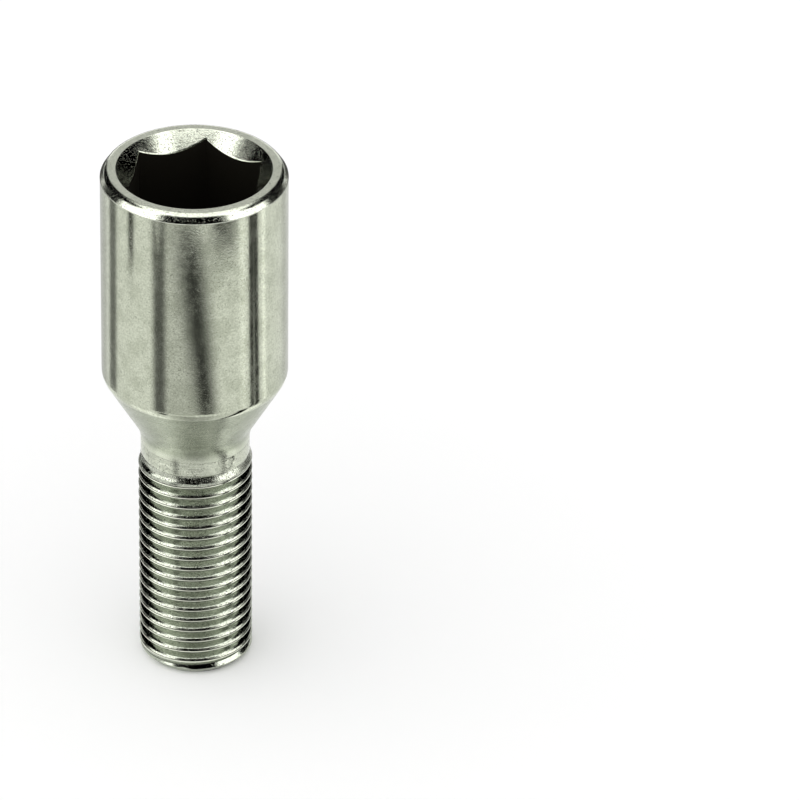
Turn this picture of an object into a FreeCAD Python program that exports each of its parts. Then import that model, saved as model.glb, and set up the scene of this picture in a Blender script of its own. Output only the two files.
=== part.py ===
import FreeCAD, Part
import math
import os

# A wheel bolt forged and turned from one bar: a long round head with a hexagon socket, a conical
# seat under it, a short plain neck and a threaded shank. Its axis is Z, the shank's end face lies
# on Z = 0 and the head is up. Lengths are in millimetres and angles in degrees.

# Threaded shank
thread_diameter = 14.0
thread_pitch = 1.5
shank_length = 32.3
end_edge_radius = 0.2

# Plain neck between the thread and the seat
neck_diameter = 13.4
neck_length = 3.4
neck_step_length = 0.9

# Conical seat
seat_angle = 60.0
seat_root_radius = 5.0

# Head
head_diameter = 22.8
head_length = 28.5
head_edge_radius = 2.0
rim_bevel_width = 0.7
rim_bevel_height = 1.0
rim_edge_radius = 0.9
bevel_edge_radius = 0.3

# Hexagon socket and its countersunk mouth
mouth_diameter = 19.0
mouth_angle = 90.0
key_size = 15.0
socket_depth = 18.0
floor_land = 0.6
floor_angle = 120.0

# Sizes that follow from those above
thread_radius = thread_diameter / 2
tip_chamfer = 0.65 * thread_pitch
neck_radius = neck_diameter / 2
neck_start = shank_length - neck_length
head_radius = head_diameter / 2
seat_height = (head_radius - neck_radius) / math.tan(math.radians(seat_angle / 2))
seat_top = shank_length + seat_height
top = seat_top + head_length
mouth_radius = mouth_diameter / 2
mouth_cone_depth = mouth_radius / math.tan(math.radians(mouth_angle / 2))


def section_point(radius, height):
    """A point of the half section, which lies in the XZ plane."""
    return FreeCAD.Vector(radius, 0, height)


def rounded_outline(corners):
    """A closed face through corners, each a point with the radius that rounds it."""
    turns = []
    for i, (corner, radius) in enumerate(corners):
        if radius == 0:
            turns.append((corner, corner, corner))
            continue
        to_before = (corners[i - 1][0] - corner).normalize()
        to_after = (corners[i + 1][0] - corner).normalize()
        inward = (to_before + to_after).normalize()
        half = to_before.getAngle(to_after) / 2
        reach = radius / math.tan(half)
        middle = corner + inward * (radius / math.sin(half) - radius)
        turns.append((corner + to_before * reach, middle, corner + to_after * reach))
    edges = []
    for i, (first, middle, last) in enumerate(turns):
        if first != last:
            edges.append(Part.Arc(first, middle, last).toShape())
        following = turns[(i + 1) % len(turns)][0]
        edges.append(Part.makeLine(last, following))
    return Part.Face(Part.Wire(edges))


def blank():
    """The bolt's outside, turned about its axis."""
    corners = [
        (section_point(0, 0), 0),
        (section_point(thread_radius - tip_chamfer, 0), end_edge_radius),
        (section_point(thread_radius, tip_chamfer), 0),
        (section_point(thread_radius, neck_start - neck_step_length), 0),
        (section_point(neck_radius, neck_start), 0),
        (section_point(neck_radius, shank_length), seat_root_radius),
        (section_point(head_radius, seat_top), head_edge_radius),
        (section_point(head_radius, top - rim_bevel_height), bevel_edge_radius),
        (section_point(head_radius - rim_bevel_width, top), rim_edge_radius),
        (section_point(0, top), 0),
    ]
    section = rounded_outline(corners)
    return section.revolve(section_point(0, 0), FreeCAD.Vector(0, 0, 1), 360)


def hexagon_socket():
    """The hexagon hole, with two corners on the Y axis and a shallow cone in its floor."""
    corner_radius = key_size / 2 / math.cos(math.radians(30))
    floor = top - socket_depth
    points = []
    for i in range(7):
        angle = math.radians(90 + 60 * i)
        x = corner_radius * math.cos(angle)
        y = corner_radius * math.sin(angle)
        points.append(FreeCAD.Vector(x, y, floor))
    prism = Part.Face(Part.makePolygon(points)).extrude(FreeCAD.Vector(0, 0, socket_depth))
    cone_radius = key_size / 2 - floor_land
    cone_depth = cone_radius / math.tan(math.radians(floor_angle / 2))
    cone = Part.makeCone(0, cone_radius, cone_depth, section_point(0, floor - cone_depth))
    return prism.fuse(cone)


def mouth():
    """The countersink that leads the key into the hexagon."""
    point = section_point(0, top - mouth_cone_depth)
    return Part.makeCone(0, mouth_radius, mouth_cone_depth, point)


os.makedirs("parts", exist_ok=True)
bolt = blank().cut(mouth()).cut(hexagon_socket())
bolt.exportStep("parts/wheel_bolt.step")
print("solids", len(bolt.Solids), "valid", bolt.isValid(), "length", round(bolt.BoundBox.ZLength, 3))
print("volume", round(bolt.Volume, 1))
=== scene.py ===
import math
import bmesh
import bpy
from mathutils import Matrix, Vector


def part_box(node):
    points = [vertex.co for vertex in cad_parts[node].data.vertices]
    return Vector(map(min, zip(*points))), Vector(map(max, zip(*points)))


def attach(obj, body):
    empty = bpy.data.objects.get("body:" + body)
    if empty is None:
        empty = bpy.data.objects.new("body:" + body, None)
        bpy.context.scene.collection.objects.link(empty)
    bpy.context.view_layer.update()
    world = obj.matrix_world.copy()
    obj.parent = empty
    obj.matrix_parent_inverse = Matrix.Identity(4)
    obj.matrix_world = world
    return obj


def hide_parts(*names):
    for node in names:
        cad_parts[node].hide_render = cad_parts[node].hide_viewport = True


# Lengths are in metres and angles in degrees. The bolt stands on the end of its thread, head up.

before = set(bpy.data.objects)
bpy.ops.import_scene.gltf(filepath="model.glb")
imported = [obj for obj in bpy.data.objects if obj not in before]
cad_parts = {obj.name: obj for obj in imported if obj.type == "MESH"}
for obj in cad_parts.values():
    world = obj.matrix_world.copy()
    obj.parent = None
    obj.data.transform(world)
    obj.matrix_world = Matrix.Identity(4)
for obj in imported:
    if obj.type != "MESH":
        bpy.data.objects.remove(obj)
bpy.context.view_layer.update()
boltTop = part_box("wheel_bolt")[1].z
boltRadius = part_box("wheel_bolt")[1].x
mm = 0.001
weldDistance = 0.001 * mm
heightSlack = 0.002 * mm  # points this close in height lie on one ring
print("frame loaded, the bolt is", round(boltTop / mm, 2), "mm long")

view = {
    "azimuth": 7.85,  # round the bolt, 0 looks along +Y
    "elevation": 32.2,
    "distance": 1.10,
    "lens": 404.4,
    "clip": (0.05, 20),
    "aimRight": 25.09 * mm,  # the bolt stands left of the picture's centre
    "aimHeight": 36.3 * mm,
    "roll": 0.61,
}


# shape helpers

def profilePoint(radius, height):
    return Vector((radius, 0, height))


def roundedProfile(corners, guard=0.0, steps=6):
    # each corner comes with the radius that rounds it; a guard point keeps the shading flat beside it
    points = []
    for i, (corner, radius) in enumerate(corners):
        if radius == 0:
            points.append(corner)
            continue
        toBefore = (corners[i - 1][0] - corner).normalized()
        toAfter = (corners[i + 1][0] - corner).normalized()
        half = toBefore.angle(toAfter) / 2
        reach = radius / math.tan(half)
        centre = corner + (toBefore + toAfter).normalized() * (radius / math.sin(half))
        arm = corner + toBefore * reach - centre
        axis = arm.cross(corner + toAfter * reach - centre)
        if guard > 0:
            points.append(corner + toBefore * (reach + guard))
        for step in range(steps + 1):
            points.append(centre + Matrix.Rotation((math.pi - 2 * half) * step / steps, 3, axis) @ arm)
        if guard > 0:
            points.append(corner + toAfter * (reach + guard))
    return points


def addProfile(bm, points):
    verts = [bm.verts.new(point) for point in points]
    return verts + [bm.edges.new(pair) for pair in zip(verts, verts[1:])]


def openLoop(bm, height):
    # the open edges that lie at one height
    return [
        e for e in bm.edges
        if e.is_boundary and all(abs(v.co.z - height) < heightSlack for v in e.verts)
    ]


def growLoop(bm, edges, place):
    # extrudes an open loop and puts its new points where place says
    made = bmesh.ops.extrude_edge_only(bm, edges=edges)["geom"]
    grown = {g for g in made if isinstance(g, bmesh.types.BMVert)}
    for v in grown:
        v.co = place(v.co)
    return [g for g in made if isinstance(g, bmesh.types.BMEdge) and set(g.verts) <= grown]


def onCircle(radius, height):
    # a place for growLoop: the same angle on a circle
    def place(co):
        flat = Vector((co.x, co.y, 0)).normalized() * radius
        return Vector((flat.x, flat.y, height))
    return place


def addObject(name, bm, materials):
    mesh = bpy.data.meshes.new(name)
    bm.to_mesh(mesh)
    bm.free()
    for material in materials:
        mesh.materials.append(material)
    made = bpy.data.objects.new(name, mesh)
    bpy.context.scene.collection.objects.link(made)
    return made


# threaded shank

thread = {
    "radius": 7.0 * mm,
    "pitch": 1.5 * mm,
    "depth": 0.86 * mm,
    "flankAngle": 30.0,  # from square to the axis
    "rootWidth": 0.10 * mm,
    "rootRound": 0.08 * mm,
    "lipWidth": 0.13 * mm,  # the crest is a lip, a seam that rolling leaves and a brow that faces up
    "lipRound": 0.06 * mm,
    "seamWidth": 0.10 * mm,
    "seamDepth": 0.07 * mm,
    "browWidth": 0.20 * mm,
    "browDrop": 0.13 * mm,
    "flankSteps": 3,
    "roundSteps": 3,
    "startAngle": -72.5,  # turns the helix round the bolt
    "stepsPerTurn": 96,
    "turnsBelow": 2,  # they start under the tip and are cut away with it
    "runOut": (27.95 * mm, 28.4 * mm),  # the groove grows shallow over this height
    "runIn": (0.8 * mm, 2.7 * mm),  # and over this one it grows deep from the tip up
    "top": 29.2 * mm,
    "tipRadius": 6.05 * mm,
    "tipChamfer": 1.0 * mm,
    "tipRound": 0.08 * mm,
    "tipRings": [(0.3, 0.25), (-1, 0), (-3, 0)],  # out and up from the tip's corner, in tip rounds
}
neckFall = [  # height and radius where the crest falls to the neck through a shallow undercut
    (28.1 * mm, 7.0 * mm),
    (28.9 * mm, 6.60 * mm),
    (29.1 * mm, 6.70 * mm),
]


def crestHeights():
    # where the lip, the seam and the brow start, above the middle of the root
    t = thread
    lip = t["rootWidth"] / 2 + t["depth"] * math.tan(math.radians(t["flankAngle"]))
    seam = lip + t["lipWidth"]
    return lip, seam, seam + t["seamWidth"]


def threadProfile():
    # one pitch, from the middle of a root to the middle of the next
    t = thread
    lip, seam, brow = crestHeights()
    root = t["radius"] - t["depth"]
    rootEnd = t["rootWidth"] / 2
    browEnd = profilePoint(t["radius"] - t["browDrop"], brow + t["browWidth"])
    rise = profilePoint(root, rootEnd), profilePoint(t["radius"], lip)
    fall = browEnd, profilePoint(root, t["pitch"] - rootEnd)
    shares = [i / t["flankSteps"] for i in range(1, t["flankSteps"])]
    corners = [
        (profilePoint(root, 0), 0),
        (rise[0], t["rootRound"]),
        *[(rise[0].lerp(rise[1], s), 0) for s in shares],
        (rise[1], t["lipRound"]),
        (profilePoint(t["radius"], seam), 0),
        (profilePoint(t["radius"] - t["seamDepth"], (seam + brow) / 2), 0),
        (profilePoint(t["radius"], brow), 0),
        (profilePoint(t["radius"] - t["browDrop"] / 2, brow + t["browWidth"] / 2), 0),
        (fall[0], 0),
        *[(fall[0].lerp(fall[1], s), 0) for s in shares],
        (fall[1], t["rootRound"]),
        (profilePoint(root, t["pitch"]), 0),
    ]
    return roundedProfile(corners, steps=t["roundSteps"])


def shareOf(value, limits):
    return min(max((value - limits[0]) / (limits[1] - limits[0]), 0), 1)


def crestRadius(height):
    # radius of the crest, or of the neck above it
    for (low, lowRadius), (high, highRadius) in zip(neckFall, neckFall[1:]):
        if height < high:
            return lowRadius + (highRadius - lowRadius) * shareOf(height, (low, high))
    return neckFall[-1][1]


def rootHeight(co):
    # height of the middle of the nearest root, on the side where the point lies
    lead = thread["pitch"] * (math.degrees(math.atan2(co.y, co.x)) - thread["startAngle"]) / 360
    return lead + round((co.z - lead) / thread["pitch"]) * thread["pitch"]


def shapeThreadEnds(bm):
    # cuts the chamfer at the tip and lets the groove run out into the neck
    t = thread
    slope = (t["radius"] - t["tipRadius"]) / t["tipChamfer"]
    for v in bm.verts:
        radius = math.hypot(v.co.x, v.co.y)
        root = rootHeight(v.co)
        depth = (t["radius"] - radius) * (1 - shareOf(root, t["runOut"])) * shareOf(root, t["runIn"])
        shaped = crestRadius(v.co.z) - depth
        shaped = min(shaped, t["tipRadius"] + max(v.co.z, 0) * slope)
        v.co.x *= shaped / radius
        v.co.y *= shaped / radius


def addThread(bm):
    t = thread
    turns = math.ceil(t["top"] / t["pitch"]) + t["turnsBelow"] + 1
    profile = addProfile(bm, threadProfile())
    sink = Matrix.Translation((0, 0, -t["turnsBelow"] * t["pitch"]))
    turn = Matrix.Rotation(math.radians(t["startAngle"]), 4, "Z")
    bmesh.ops.transform(bm, matrix=sink @ turn, verts=bm.verts)
    bmesh.ops.spin(
        bm, geom=profile, cent=(0, 0, 0), axis=(0, 0, 1), angle=math.radians(360),
        steps=t["stepsPerTurn"], dvec=(0, 0, t["pitch"] / t["stepsPerTurn"]),
    )
    oneTurn = bm.verts[:] + bm.edges[:] + bm.faces[:]
    for number in range(1, turns):
        copied = bmesh.ops.duplicate(bm, geom=oneTurn)["geom"]
        verts = [g for g in copied if isinstance(g, bmesh.types.BMVert)]
        bmesh.ops.translate(bm, vec=(0, 0, number * t["pitch"]), verts=verts)
    bmesh.ops.remove_doubles(bm, verts=bm.verts, dist=weldDistance)
    shapeThreadEnds(bm)
    for height, side in ((t["tipRound"], -1), (t["top"], 1)):
        everything = bm.verts[:] + bm.edges[:] + bm.faces[:]
        bmesh.ops.bisect_plane(
            bm, geom=everything, plane_co=(0, 0, height), plane_no=(0, 0, side), clear_outer=True,
        )
    loop = openLoop(bm, t["tipRound"])
    for out, up in t["tipRings"]:
        ring = onCircle(t["tipRadius"] + out * t["tipRound"], up * t["tipRound"])
        loop = growLoop(bm, loop, ring)
    bmesh.ops.holes_fill(bm, edges=loop, sides=0)


# neck, conical seat, barrel and rim

head = {
    "neckRadius": 6.7 * mm,
    "neckStart": 29.3 * mm,
    "neckRings": 15,  # they let the dents bend the neck
    "neckRingStep": 0.12 * mm,
    "dentHeights": (29.3 * mm, 31.4 * mm),  # only the neck between them is dented
    "seatStart": 32.3 * mm,
    "seatAngle": 30.0,  # from the axis
    "seatRootRound": 5.0 * mm,
    "edgeRound": 2.0 * mm,
    "bevelWidth": 0.7 * mm,
    "bevelHeight": 1.0 * mm,
    "bevelRound": 0.3 * mm,
    "rimRound": 0.95 * mm,
    "mouthRadius": 9.5 * mm,
    "mouthRound": 0.12 * mm,
    "mouthLead": 0.3 * mm,  # depth of the countersink's first ring
    "guard": 0.05 * mm,
    "steps": 192,
    "sharpAngle": 23.0,  # edges that turn by more are shaded sharp
}
seatTop = head["seatStart"] + (boltRadius - head["neckRadius"]) / math.tan(math.radians(head["seatAngle"]))
dents = [  # marks that rolling leaves on the neck; azimuth is from the camera's side, to the right
    {"azimuth": 38.5, "height": 30.05 * mm, "halfWidth": 3.2, "halfHeight": 0.55 * mm, "depth": 0.16 * mm},
    {"azimuth": 47.5, "height": 30.30 * mm, "halfWidth": 7.0, "halfHeight": 0.55 * mm, "depth": -0.10 * mm},
    {"azimuth": 2.0, "height": 29.95 * mm, "halfWidth": 14.0, "halfHeight": 0.12 * mm, "depth": 0.03 * mm},
    {"azimuth": -58.0, "height": 30.7 * mm, "halfWidth": 7.0, "halfHeight": 0.7 * mm, "depth": 0.07 * mm},
    {"azimuth": -32.0, "height": 29.9 * mm, "halfWidth": 9.0, "halfHeight": 0.35 * mm, "depth": 0.04 * mm},
    {"azimuth": 142.0, "height": 30.3 * mm, "halfWidth": 8.0, "halfHeight": 0.4 * mm, "depth": 0.07 * mm},
]


def dentNeck(bm):
    low, high = head["dentHeights"]
    for v in bm.verts:
        if not low < v.co.z < high:
            continue
        azimuth = math.degrees(math.atan2(v.co.x, -v.co.y)) - view["azimuth"]
        for dent in dents:
            across = (azimuth - dent["azimuth"] + 180) % 360 - 180
            far = math.hypot(across / dent["halfWidth"], (v.co.z - dent["height"]) / dent["halfHeight"])
            if far < 1:
                scale = 1 - dent["depth"] * (1 - far * far) / head["neckRadius"]
                v.co.x *= scale
                v.co.y *= scale


def addHead(bm):
    h = head
    rings = [h["neckStart"] + h["neckRingStep"] * i for i in range(h["neckRings"])]
    corners = [
        *[(profilePoint(h["neckRadius"], height), 0) for height in rings],
        (profilePoint(h["neckRadius"], h["seatStart"]), h["seatRootRound"]),
        (profilePoint(boltRadius, seatTop), h["edgeRound"]),
        (profilePoint(boltRadius, boltTop - h["bevelHeight"]), h["bevelRound"]),
        (profilePoint(boltRadius - h["bevelWidth"], boltTop), h["rimRound"]),
        (profilePoint(h["mouthRadius"], boltTop), h["mouthRound"]),
        (profilePoint(h["mouthRadius"] - h["mouthLead"], boltTop - h["mouthLead"]), 0),
    ]
    profile = addProfile(bm, roundedProfile(corners, guard=h["guard"]))
    bmesh.ops.spin(
        bm, geom=profile, cent=(0, 0, 0), axis=(0, 0, 1), angle=math.radians(360),
        steps=h["steps"], dvec=(0, 0, 0), use_merge=True,
    )


# hexagon socket

socket = {
    "acrossFlats": 15.0 * mm,
    "depth": 18.0 * mm,
    "edgeRound": 0.12 * mm,
    "edgeSteps": 4,
    "floorLand": 0.6 * mm,
    "floorAngle": 60.0,  # from the axis
}


def hexagonRadius(co):
    # distance from the axis to the hexagon's wall, which has a corner on +Y
    angle = math.degrees(math.atan2(co.y, co.x))
    return socket["acrossFlats"] / 2 / math.cos(math.radians((angle - 90) % 60 - 30))


def addSocket(bm):
    s = socket
    floor = boltTop - s["depth"]

    def overEdge(share):
        # bends from the countersink over the hexagon's edge to its wall
        def place(co):
            wall = hexagonRadius(co)
            edge = profilePoint(wall, boltTop - (head["mouthRadius"] - wall))
            above = edge + profilePoint(s["edgeRound"], s["edgeRound"])
            below = edge - profilePoint(0, s["edgeRound"])
            bend = above.lerp(edge, share).lerp(edge.lerp(below, share), share)
            return onCircle(bend.x, bend.z)(co)
        return place

    def onWall(height):
        def place(co):
            return onCircle(hexagonRadius(co), height)(co)
        return place

    loop = openLoop(bm, boltTop - head["mouthLead"])
    for step in range(s["edgeSteps"] + 1):
        loop = growLoop(bm, loop, overEdge(step / s["edgeSteps"]))
    loop = growLoop(bm, loop, onWall(floor))
    coneRadius = s["acrossFlats"] / 2 - s["floorLand"]
    coneDepth = coneRadius / math.tan(math.radians(s["floorAngle"]))
    loop = growLoop(bm, loop, onCircle(coneRadius, floor))
    growLoop(bm, loop, lambda co: Vector((0, 0, floor - coneDepth)))
    bmesh.ops.remove_doubles(bm, verts=bm.verts, dist=weldDistance)


# shader helpers

mixSockets = {"FLOAT": (2, 3, 0), "RGBA": (6, 7, 2)}  # the Mix node's two inputs and its output


def feed(tree, value, socketIn):
    # links what comes from another node, and sets a plain value
    if isinstance(value, bpy.types.NodeSocket):
        tree.links.new(value, socketIn)
    else:
        socketIn.default_value = value


def addMath(tree, operation, *values, clamp=False):
    node = tree.nodes.new("ShaderNodeMath")
    node.operation = operation
    node.use_clamp = clamp
    for value, socketIn in zip(values, node.inputs):
        feed(tree, value, socketIn)
    return node.outputs[0]


def addRange(tree, value, source, target=(0.0, 1.0), smooth=False):
    # maps one range onto another
    node = tree.nodes.new("ShaderNodeMapRange")
    node.interpolation_type = "SMOOTHSTEP" if smooth else "LINEAR"
    labels = ("Value", "From Min", "From Max", "To Min", "To Max")
    for label, given in zip(labels, (value, *source, *target)):
        feed(tree, given, node.inputs[label])
    return node.outputs["Result"]


def addMix(tree, share, first, second, kind="FLOAT"):
    node = tree.nodes.new("ShaderNodeMix")
    node.data_type = kind
    firstSpot, secondSpot, result = mixSockets[kind]
    feed(tree, share, node.inputs[0])
    feed(tree, first, node.inputs[firstSpot])
    feed(tree, second, node.inputs[secondSpot])
    return node.outputs[result]


def addNoise(tree, vector, scale, detail=2.0, roughness=0.5):
    node = tree.nodes.new("ShaderNodeTexNoise")
    tree.links.new(vector, node.inputs["Vector"])
    feed(tree, scale, node.inputs["Scale"])
    node.inputs["Detail"].default_value = detail
    node.inputs["Roughness"].default_value = roughness
    return node.outputs["Fac"]


def addSplit(tree, vector):
    node = tree.nodes.new("ShaderNodeSeparateXYZ")
    tree.links.new(vector, node.inputs[0])
    return tuple(node.outputs)


def addBump(tree, height, distance, normal=None):
    node = tree.nodes.new("ShaderNodeBump")
    node.inputs["Strength"].default_value = 1
    node.inputs["Distance"].default_value = distance
    tree.links.new(height, node.inputs["Height"])
    if normal is not None:
        tree.links.new(normal, node.inputs["Normal"])
    return node.outputs["Normal"]


def addGroup(name, inputs, outputs):
    group = bpy.data.node_groups.new(name, "ShaderNodeTree")
    for label, kind, value in inputs:
        item = group.interface.new_socket(label, in_out="INPUT", socket_type="NodeSocket" + kind)
        if value is not None:
            item.default_value = value
    for label, kind in outputs:
        group.interface.new_socket(label, in_out="OUTPUT", socket_type="NodeSocket" + kind)
    return group, group.nodes.new("NodeGroupInput"), group.nodes.new("NodeGroupOutput")


def placeGroup(tree, group, values):
    # puts a node group in a tree and feeds its inputs by their names
    node = tree.nodes.new("ShaderNodeGroup")
    node.node_tree = group
    for label, value in values.items():
        feed(tree, value, node.inputs[label])
    return node.outputs


# finishes, with painted shade in the socket and the thread's roots and a painted highlight on the crest's
# lips

plating = {  # what all the finishes share; a scale is a share of a finish's grain
    "broadScale": 0.13,
    "broadHeight": 0.8,
    "spotScale": 1.1,
    "pitRange": (0.60, 0.72),
    "pitColor": (0.05, 0.052, 0.042),
    "cloudScale": 0.07,
    "cloudRange": (0.42, 0.66),
    "stainScale": 0.9,
    "stainRange": (0.36, 0.66),
    "wearPerMetre": 900.0,
    "wearRange": (0.35, 0.65),
    "changePerMetre": 120.0,  # how fast a turned line changes along its run
}
barrelFinish = {
    "color": (0.65, 0.685, 0.56), "stain": (0.42, 0.45, 0.35), "roughness": (0.07, 0.14), "clouds": 0.42,
    "grain": 4600.0, "pits": 0.45, "bump": 0.0036 * mm,
}
seatFinish = {
    "color": (0.425, 0.46, 0.355), "stain": (0.28, 0.31, 0.23), "roughness": (0.18, 0.28), "clouds": 0.4,
    "grain": 4200.0, "pits": 0.3, "bump": 0.0065 * mm, "lines": 7000.0, "lineBump": 0.020 * mm,
    "footColor": (0.57, 0.605, 0.49), "footFade": (31.1 * mm, 32.5 * mm),  # turns lighter towards the neck
}
neckFinish = {
    "color": (0.67, 0.70, 0.58), "stain": (0.43, 0.46, 0.37), "roughness": (0.14, 0.26), "clouds": 0.3,
    "grain": 4200.0, "pits": 0.8, "bump": 0.0060 * mm, "lines": 7000.0, "lineBump": 0.014 * mm,
}
threadFinish = {
    "color": (0.575, 0.615, 0.52), "stain": (0.385, 0.415, 0.34), "roughness": (0.05, 0.12), "clouds": 0.3,
    "grain": 5200.0, "pits": 0.9, "bump": 0.0095 * mm,
}
mouthFinish = {
    "color": (0.70, 0.73, 0.62), "stain": (0.50, 0.525, 0.43), "roughness": (0.08, 0.18), "clouds": 0.2,
    "grain": 5000.0, "pits": 0.9, "bump": 0.0200 * mm,
}
rimFinish = {
    "color": (0.68, 0.71, 0.60), "stain": (0.50, 0.525, 0.43), "roughness": (0.08, 0.16), "clouds": 0.2,
    "grain": 5600.0, "pits": 0.9, "bump": 0.0110 * mm,
}
browFinish = {
    "color": (0.66, 0.69, 0.59), "stain": (0.24, 0.255, 0.20), "roughness": (0.10, 0.24), "clouds": 0.0,
    "grain": 6000.0, "pits": 1.2, "bump": 0.0180 * mm,
}
# the crest's seam is dark and rough; the thread's roots take this same finish as painted shade
seamAndPaintedRootShadeFinish = {
    "color": (0.10, 0.105, 0.085), "stain": (0.02, 0.02, 0.015), "roughness": (0.4, 0.6), "clouds": 0.0,
    "grain": 6000.0, "pits": 1.2, "bump": 0.0200 * mm,
}
# painted highlight: the lip is coloured far lighter than the rest of the thread, for the bright line along
# the crest
lipPaintedHighlightFinish = {
    "color": (0.96, 0.99, 0.85), "stain": (0.80, 0.83, 0.70), "roughness": (0.10, 0.20), "clouds": 0.0,
    "grain": 5200.0, "pits": 0.2, "bump": 0.0020 * mm,
}
# painted shade: near-black with little shine, so the socket's walls and floor stay dark like a shaded
# recess
socketPaintedShadeFinish = {"Base Color": (0.006, 0.005, 0.003, 1), "Roughness": 0.7, "Specular IOR Level": 0.1}
zoneEdges = {  # where one finish gives way to the next
    "endFaceRadius": 6.0 * mm,
    "seatStart": 1.2 * mm,  # below the corner of neck and seat
    "seatEnd": 0.5 * mm,  # below the corner of seat and barrel
    "wallSlack": 0.01 * mm,
}


def makeGrainGroup():
    # the fine orange peel and pits of a plated forging
    p = plating
    group, start, end = addGroup(
        "platingGrain",
        [("Vector", "Vector", None), ("Grain per metre", "Float", 4200.0), ("Pits", "Float", 0.5)],
        [("Height", "Float"), ("Pit mask", "Float"), ("Cloud mask", "Float")],
    )
    perMetre = start.outputs["Grain per metre"]
    place = start.outputs["Vector"]
    grain = addNoise(group, place, perMetre, detail=3.0, roughness=0.6)
    broad = addNoise(group, place, addMath(group, "MULTIPLY", perMetre, p["broadScale"]))
    spots = addNoise(group, place, addMath(group, "MULTIPLY", perMetre, p["spotScale"]))
    spots = addRange(group, spots, p["pitRange"], smooth=True)
    pits = addMath(group, "MULTIPLY", spots, start.outputs["Pits"])
    height = addMath(group, "ADD", grain, addMath(group, "MULTIPLY", broad, p["broadHeight"]))
    height = addMath(group, "SUBTRACT", height, pits)
    cloudScale = addMath(group, "MULTIPLY", perMetre, p["cloudScale"])
    clouds = addNoise(group, place, cloudScale, detail=4.0, roughness=0.6)
    group.links.new(height, end.inputs["Height"])
    group.links.new(pits, end.inputs["Pit mask"])
    group.links.new(addRange(group, clouds, p["cloudRange"], smooth=True), end.inputs["Cloud mask"])
    return group


def makeTurningGroup():
    # lines that a turning tool leaves round the axis, on any face of revolution
    group, start, end = addGroup(
        "turningLines",
        [("Vector", "Vector", None), ("Lines per metre", "Float", 9000.0)],
        [("Height", "Float")],
    )
    x, y, z = addSplit(group, start.outputs["Vector"])
    square = addMath(group, "ADD", addMath(group, "POWER", x, 2.0), addMath(group, "POWER", y, 2.0))
    lines = start.outputs["Lines per metre"]
    change = plating["changePerMetre"]
    join = group.nodes.new("ShaderNodeCombineXYZ")
    group.links.new(addMath(group, "MULTIPLY", addMath(group, "SQRT", square), lines), join.inputs[0])
    group.links.new(addMath(group, "MULTIPLY", x, change), join.inputs[1])
    group.links.new(addMath(group, "MULTIPLY", y, change), join.inputs[2])
    noise = group.nodes.new("ShaderNodeTexNoise")
    noise.noise_dimensions = "4D"
    group.links.new(join.outputs[0], noise.inputs["Vector"])
    group.links.new(addMath(group, "MULTIPLY", z, lines), noise.inputs["W"])
    noise.inputs["Scale"].default_value = 1.0
    noise.inputs["Detail"].default_value = 2.0
    group.links.new(noise.outputs["Fac"], end.inputs["Height"])
    return group


grainGroup = makeGrainGroup()
turningGroup = makeTurningGroup()


def makeMetal(name, finish):
    material = bpy.data.materials.new(name)
    material.use_nodes = True
    tree = material.node_tree
    shader = tree.nodes["Principled BSDF"]
    shader.inputs["Metallic"].default_value = 1
    place = tree.nodes.new("ShaderNodeTexCoord").outputs["Object"]
    grain = placeGroup(tree, grainGroup, {
        "Vector": place, "Grain per metre": finish["grain"], "Pits": finish["pits"],
    })
    stain = addNoise(tree, place, plating["stainScale"] * finish["grain"], detail=4.0, roughness=0.75)
    cloud = addMath(tree, "MULTIPLY", grain["Cloud mask"], finish["clouds"])
    stained = addMath(tree, "ADD", addRange(tree, stain, plating["stainRange"]), cloud, clamp=True)
    color = addMix(tree, stained, (*finish["color"], 1), (*finish["stain"], 1), "RGBA")
    if "footColor" in finish:
        height = addSplit(tree, place)[2]
        fade = addRange(tree, height, finish["footFade"], smooth=True)
        color = addMix(tree, fade, (*finish["footColor"], 1), color, "RGBA")
    color = addMix(tree, grain["Pit mask"], color, (*plating["pitColor"], 1), "RGBA")
    tree.links.new(color, shader.inputs["Base Color"])
    wear = addNoise(tree, place, plating["wearPerMetre"], detail=3.0, roughness=0.6)
    roughness = addRange(tree, wear, plating["wearRange"], finish["roughness"])
    tree.links.new(roughness, shader.inputs["Roughness"])
    normal = None
    if "lineBump" in finish:
        turning = placeGroup(tree, turningGroup, {"Vector": place, "Lines per metre": finish["lines"]})
        normal = addBump(tree, turning["Height"], finish["lineBump"])
    normal = addBump(tree, grain["Height"], finish["bump"], normal)
    tree.links.new(normal, shader.inputs["Normal"])
    return material


def makePlain(name, finish):
    material = bpy.data.materials.new(name)
    material.use_nodes = True
    shader = material.node_tree.nodes["Principled BSDF"]
    for label, value in finish.items():
        shader.inputs[label].default_value = value
    return material


def makeFinishes():
    return [
        makeMetal("platedBarrel", barrelFinish),
        makeMetal("turnedSeat", seatFinish),
        makeMetal("rolledThread", threadFinish),
        makePlain("socketPaintedShade", socketPaintedShadeFinish),
        makeMetal("platedMouth", mouthFinish),
        makeMetal("seamAndPaintedRootShade", seamAndPaintedRootShadeFinish),
        makeMetal("crestBrow", browFinish),
        makeMetal("crestLipPaintedHighlight", lipPaintedHighlightFinish),
        makeMetal("rolledNeck", neckFinish),
        makeMetal("platedRim", rimFinish),
    ]


def threadZone(centre, radius):
    # the root gets the crest seam's dark finish as painted shade
    lip, seam, brow = crestHeights()
    rise = (centre.z - rootHeight(centre)) % thread["pitch"]
    if radius < zoneEdges["endFaceRadius"]:
        return "rolledThread"
    # the lip gets the painted highlight
    if lip < rise < seam:
        return "crestLipPaintedHighlight"
    if seam <= rise < brow:
        return "seamAndPaintedRootShade"
    if brow <= rise < brow + thread["browWidth"]:
        return "crestBrow"
    if min(rise, thread["pitch"] - rise) < thread["rootWidth"] / 2:
        return "seamAndPaintedRootShade"
    return "rolledThread"


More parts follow.
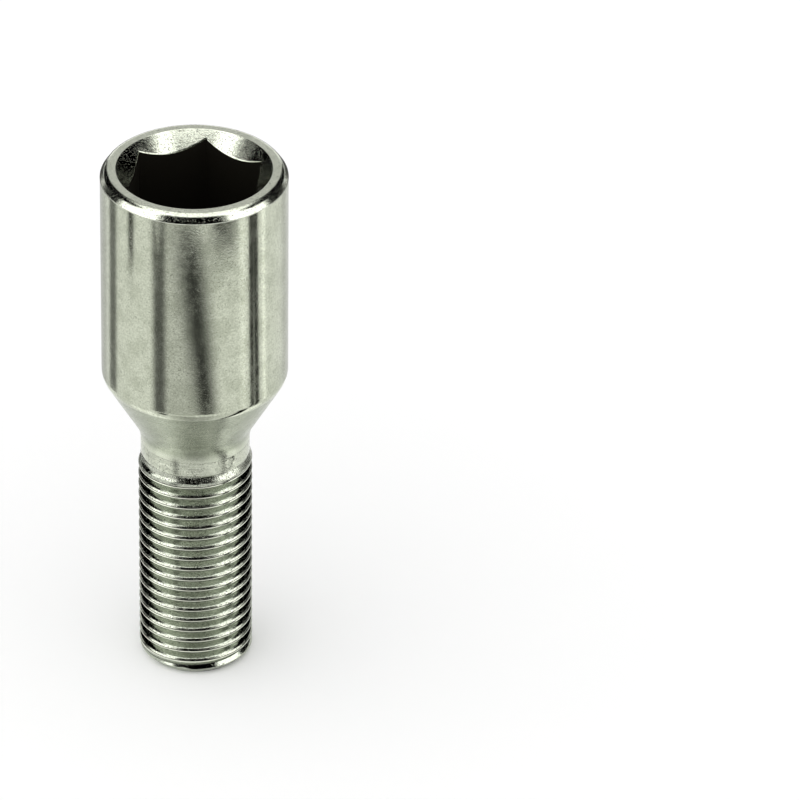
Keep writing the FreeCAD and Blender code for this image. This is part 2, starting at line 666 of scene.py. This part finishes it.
def zoneOf(centre):
    # the name of the finish that a face gets, from the tip up and then in over the rim
    radius = math.hypot(centre.x, centre.y)
    if centre.z < neckFall[0][0]:
        return threadZone(centre, radius)
    if centre.z < neckFall[-1][0]:
        return "crestBrow"
    if centre.z < head["seatStart"] - zoneEdges["seatStart"]:
        return "rolledNeck"
    if centre.z < seatTop - zoneEdges["seatEnd"]:
        return "turnedSeat"
    # the socket's walls and floor get the painted shade
    if radius < hexagonRadius(centre) + zoneEdges["wallSlack"]:
        return "socketPaintedShade"
    if radius < head["mouthRadius"]:
        return "platedMouth"
    if centre.z > boltTop - head["bevelHeight"] - head["bevelRound"]:
        return "platedRim"
    return "platedBarrel"


def makeBolt():
    bm = bmesh.new()
    addThread(bm)
    print("thread cut,", len(bm.faces), "faces")
    addHead(bm)
    bmesh.ops.bridge_loops(bm, edges=openLoop(bm, thread["top"]) + openLoop(bm, head["neckStart"]))
    dentNeck(bm)
    addSocket(bm)
    bmesh.ops.recalc_face_normals(bm, faces=bm.faces)
    gaps = sum(1 for e in bm.edges if len(e.link_faces) != 2)
    print("bolt closed,", len(bm.faces), "faces,", gaps, "open edges")
    made = addObject("boltBody", bm, makeFinishes())
    spots = {material.name: i for i, material in enumerate(made.data.materials)}
    for face in made.data.polygons:
        face.material_index = spots[zoneOf(face.center)]
    made.data.shade_smooth()
    made.data.set_sharp_from_angle(angle=math.radians(head["sharpAngle"]))
    return made


bolt = makeBolt()
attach(bolt, "root")
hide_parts("wheel_bolt")


# studio: a white floor, and flags and panels that only the metal reflects

studio = {
    "floorRadius": 3.0,
    "floorLight": 1.04,
    "leftLean": 0.30,  # how much more light the floor gets from the left than from the right
    "frontLean": 0.40,  # and from the front than from behind
    "roomLight": 0.3,  # what the metal sees where there is no panel
    "flagHeight": 0.05 * mm,  # each flag lies this much above the one before
    "flagFade": 0.16,
}
groundFinish = {"Base Color": (1, 1, 1, 1), "Roughness": 1, "Specular IOR Level": 0}
panels = [  # azimuth is from the camera's side, to the right; sizes are halves
    {"azimuth": 180, "elevation": 32, "width": 70, "height": 22, "edge": 8, "level": 0.70},
    {"azimuth": 180, "elevation": 2, "width": 60, "height": 12, "edge": 4, "level": 1.5},
    {"azimuth": 0, "elevation": 75, "width": 180, "height": 20, "edge": 4, "level": 1.8},
    {"azimuth": -71, "elevation": 37, "width": 27, "height": 33, "edge": 3, "level": 2.4},
    {"azimuth": 71, "elevation": 37, "width": 27, "height": 33, "edge": 3, "level": 2.4},
    {"azimuth": 0, "elevation": 20, "width": 43, "height": 31, "edge": 3, "level": 0.0},
    {"azimuth": -128, "elevation": 26, "width": 31, "height": 27, "edge": 4, "level": 0.0},
    {"azimuth": 128, "elevation": 26, "width": 31, "height": 27, "edge": 4, "level": 0.0},
    {"azimuth": -101, "elevation": 42, "width": 20, "height": 11, "edge": 4, "level": 0.0},
    {"azimuth": 98, "elevation": 42, "width": 23, "height": 12, "edge": 4, "level": 0.0},
]
flags = [  # strips on the floor; azimuth and width change over the reach, which is in mm from the axis
    {
        "azimuth": (180, 180), "width": (174, 174), "reach": (118, 800),
        "edge": 0.35, "fade": 0.11, "level": 0.10,
    },
    {"azimuth": (-150, -150), "width": (60, 60), "reach": (60, 122), "edge": 0.6, "level": 0.65},
    {"azimuth": (152, 152), "width": (60, 60), "reach": (60, 122), "edge": 0.6, "level": 0.75},
    {"azimuth": (-113, -113), "width": (25, 23), "reach": (66, 150), "edge": 0.7, "level": 0.25},
    {"azimuth": (-79, -79), "width": (14, 14), "reach": (106, 150), "edge": 0.8, "level": 0.10},
    {"azimuth": (-16, -18), "width": (50, 50), "reach": (60, 150), "edge": 0.6, "level": 0.76},
    {"azimuth": (-39.2, -42), "width": (24, 27), "reach": (62, 150), "edge": 0.75, "level": 0.15},
    {"azimuth": (-38, -38), "width": (16, 16), "reach": (42, 60), "edge": 0.6, "level": 0.1},
    {"azimuth": (-42, -42), "width": (2, 16), "reach": (117, 128), "edge": 0.4, "level": 0.85},
    {"azimuth": (17.5, -7.9), "width": (39, 66), "reach": (70, 125), "edge": 0.95, "level": 0.05},
    {"azimuth": (37, 37), "width": (52, 52), "reach": (114.5, 150), "edge": 0.8, "level": 0.05},
    {"azimuth": (60, 60), "width": (16, 16), "reach": (62, 150), "edge": 1.0, "level": 1.3},
    {"azimuth": (91, 91), "width": (11, 11), "reach": (62, 150), "edge": 0.9, "level": 1.5},
    {"azimuth": (71.6, 71.8), "width": (6.2, 9.0), "reach": (48, 150), "edge": 0.3, "level": 0.06},
    {"azimuth": (79.2, 78.2), "width": (7.8, 7.8), "reach": (48, 150), "edge": 0.3, "level": 0.06},
    {"azimuth": (2, 2), "width": (90, 90), "reach": (10, 49), "edge": 0.8, "level": 0.58},
    {"azimuth": (82, 82), "width": (44, 44), "reach": (10, 49), "edge": 0.5, "level": 1.4},
    {"azimuth": (-72, -72), "width": (50, 50), "reach": (10, 49), "edge": 0.5, "level": 1.4},
    {"azimuth": (62.5, 62.5), "width": (18, 18), "reach": (10, 54), "edge": 0.35, "level": 0.0},
]


def makeFloor():
    bm = bmesh.new()
    bmesh.ops.create_circle(bm, cap_ends=True, segments=64, radius=studio["floorRadius"])
    addObject("floor", bm, [makePlain("whiteGround", groundFinish)])


def makeFlagMaterial(level, edge, fade):
    # its own level in the middle, and clear at its sides and ends
    material = bpy.data.materials.new("flag")
    material.use_nodes = True
    tree = material.node_tree
    tree.nodes.clear()
    across, along = addSplit(tree, tree.nodes.new("ShaderNodeUVMap").outputs[0])[:2]
    masks = []
    for spot, soft in ((across, edge), (along, fade)):
        fromMiddle = addMath(tree, "ABSOLUTE", addMath(tree, "SUBTRACT", spot, 0.5))
        masks.append(addRange(tree, fromMiddle, (0.5, 0.5 - 0.5 * soft), smooth=True))
    glow = tree.nodes.new("ShaderNodeEmission")
    glow.inputs["Color"].default_value = (level, level, level, 1)
    mix = tree.nodes.new("ShaderNodeMixShader")
    tree.links.new(addMath(tree, "MULTIPLY", *masks), mix.inputs[0])
    tree.links.new(tree.nodes.new("ShaderNodeBsdfTransparent").outputs[0], mix.inputs[1])
    tree.links.new(glow.outputs[0], mix.inputs[2])
    out = tree.nodes.new("ShaderNodeOutputMaterial")
    tree.links.new(mix.outputs[0], out.inputs["Surface"])
    return material


def showOnlyInMetal(piece):
    piece.visible_camera = False
    piece.visible_diffuse = False
    piece.visible_transmission = False
    piece.visible_volume_scatter = False
    piece.visible_shadow = False


def between(ends, share):
    return ends[0] * (1 - share) + ends[1] * share


def makeFlag(number, flag):
    bm = bmesh.new()
    bmesh.ops.create_grid(bm, x_segments=12, y_segments=16, size=0.5, calc_uvs=False)
    uv = bm.loops.layers.uv.new("UVMap")
    for face in bm.faces:
        for loop in face.loops:
            loop[uv].uv = (loop.vert.co.x + 0.5, loop.vert.co.y + 0.5)
    height = studio["flagHeight"] * (number + 1)
    reach = [end * mm for end in flag["reach"]]
    for v in bm.verts:
        share = v.co.y + 0.5
        azimuth = between(flag["azimuth"], share)
        angle = math.radians(azimuth + between(flag["width"], share) * v.co.x + view["azimuth"])
        radius = between(reach, share)
        v.co = Vector((radius * math.sin(angle), -radius * math.cos(angle), height))
    fade = flag.get("fade", studio["flagFade"])
    piece = addObject("flag" + str(number), bm, [makeFlagMaterial(flag["level"], flag["edge"], fade)])
    showOnlyInMetal(piece)


def makePanelGroup():
    # puts one soft-edged panel in front of what is behind it
    group, start, end = addGroup(
        "softPanel",
        [
            ("Behind", "Float", 0.0), ("Azimuth", "Float", 0.0), ("Elevation", "Float", 0.0),
            ("Centre azimuth", "Float", 0.0), ("Centre elevation", "Float", 0.0),
            ("Half width", "Float", 0.5), ("Half height", "Float", 0.5),
            ("Edge", "Float", 0.1), ("Level", "Float", 1.0),
        ],
        [("Light", "Float")],
    )
    s = start.outputs
    turned = addMath(group, "SUBTRACT", s["Azimuth"], s["Centre azimuth"])
    across = addMath(group, "ABSOLUTE", addMath(group, "WRAP", turned, math.pi, -math.pi))
    up = addMath(group, "ABSOLUTE", addMath(group, "SUBTRACT", s["Elevation"], s["Centre elevation"]))
    masks = []
    for distance, half in ((across, s["Half width"]), (up, s["Half height"])):
        outer = addMath(group, "ADD", half, s["Edge"])
        inner = addMath(group, "SUBTRACT", half, s["Edge"])
        masks.append(addRange(group, distance, (outer, inner), smooth=True))
    mask = addMath(group, "MULTIPLY", *masks)
    change = addMath(group, "MULTIPLY", addMath(group, "SUBTRACT", s["Level"], s["Behind"]), mask)
    group.links.new(addMath(group, "ADD", s["Behind"], change), end.inputs["Light"])
    return group


def makeWorld():
    world = bpy.data.worlds.new("studio")
    world.use_nodes = True
    world.cycles.sampling_method = "NONE"  # keeps what metal sees apart from what lights the floor
    tree = world.node_tree
    turn = tree.nodes.new("ShaderNodeVectorRotate")
    turn.rotation_type = "Z_AXIS"
    turn.inputs["Angle"].default_value = -math.radians(view["azimuth"])
    tree.links.new(tree.nodes.new("ShaderNodeTexCoord").outputs["Generated"], turn.inputs["Vector"])
    x, y, z = addSplit(tree, turn.outputs[0])
    azimuth = addMath(tree, "ARCTAN2", x, addMath(tree, "MULTIPLY", y, -1.0))
    elevation = addMath(tree, "ARCSINE", z)
    panelGroup = makePanelGroup()
    light = studio["roomLight"]
    for panel in panels:
        light = placeGroup(tree, panelGroup, {
            "Behind": light,
            "Azimuth": azimuth,
            "Elevation": elevation,
            "Centre azimuth": math.radians(panel["azimuth"]),
            "Centre elevation": math.radians(panel["elevation"]),
            "Half width": math.radians(panel["width"]),
            "Half height": math.radians(panel["height"]),
            "Edge": math.radians(panel["edge"]),
            "Level": panel["level"],
        })["Light"]
    fromLeft = addMath(tree, "MULTIPLY", x, -studio["leftLean"])
    fromFront = addMath(tree, "MULTIPLY", y, -studio["frontLean"])
    onFloor = addMath(tree, "ADD", studio["floorLight"], addMath(tree, "ADD", fromLeft, fromFront))
    path = tree.nodes.new("ShaderNodeLightPath").outputs
    light = addMix(tree, path["Is Diffuse Ray"], light, onFloor)
    background = tree.nodes["Background"]
    background.inputs["Color"].default_value = (1, 1, 1, 1)
    tree.links.new(addMix(tree, path["Is Camera Ray"], light, 1), background.inputs["Strength"])
    bpy.context.scene.world = world


def makeCamera():
    azimuth = math.radians(view["azimuth"])
    elevation = math.radians(view["elevation"])
    right = Vector((math.cos(azimuth), math.sin(azimuth), 0))
    back = Vector((
        math.sin(azimuth) * math.cos(elevation),
        -math.cos(azimuth) * math.cos(elevation),
        math.sin(elevation),
    ))
    aim = right * view["aimRight"] + Vector((0, 0, view["aimHeight"]))
    data = bpy.data.cameras.new("camera")
    data.lens = view["lens"]
    data.clip_start, data.clip_end = view["clip"]
    camera = bpy.data.objects.new("camera", data)
    turn = (-back).to_track_quat("-Z", "Y").to_matrix().to_4x4()
    roll = Matrix.Rotation(math.radians(view["roll"]), 4, "Z")
    camera.matrix_world = Matrix.Translation(aim + back * view["distance"]) @ turn @ roll
    bpy.context.scene.collection.objects.link(camera)
    bpy.context.scene.camera = camera


makeFloor()
for number, flag in enumerate(flags):
    makeFlag(number, flag)
makeWorld()
makeCamera()
bpy.context.scene.view_settings.view_transform = "Standard"
print("studio ready")
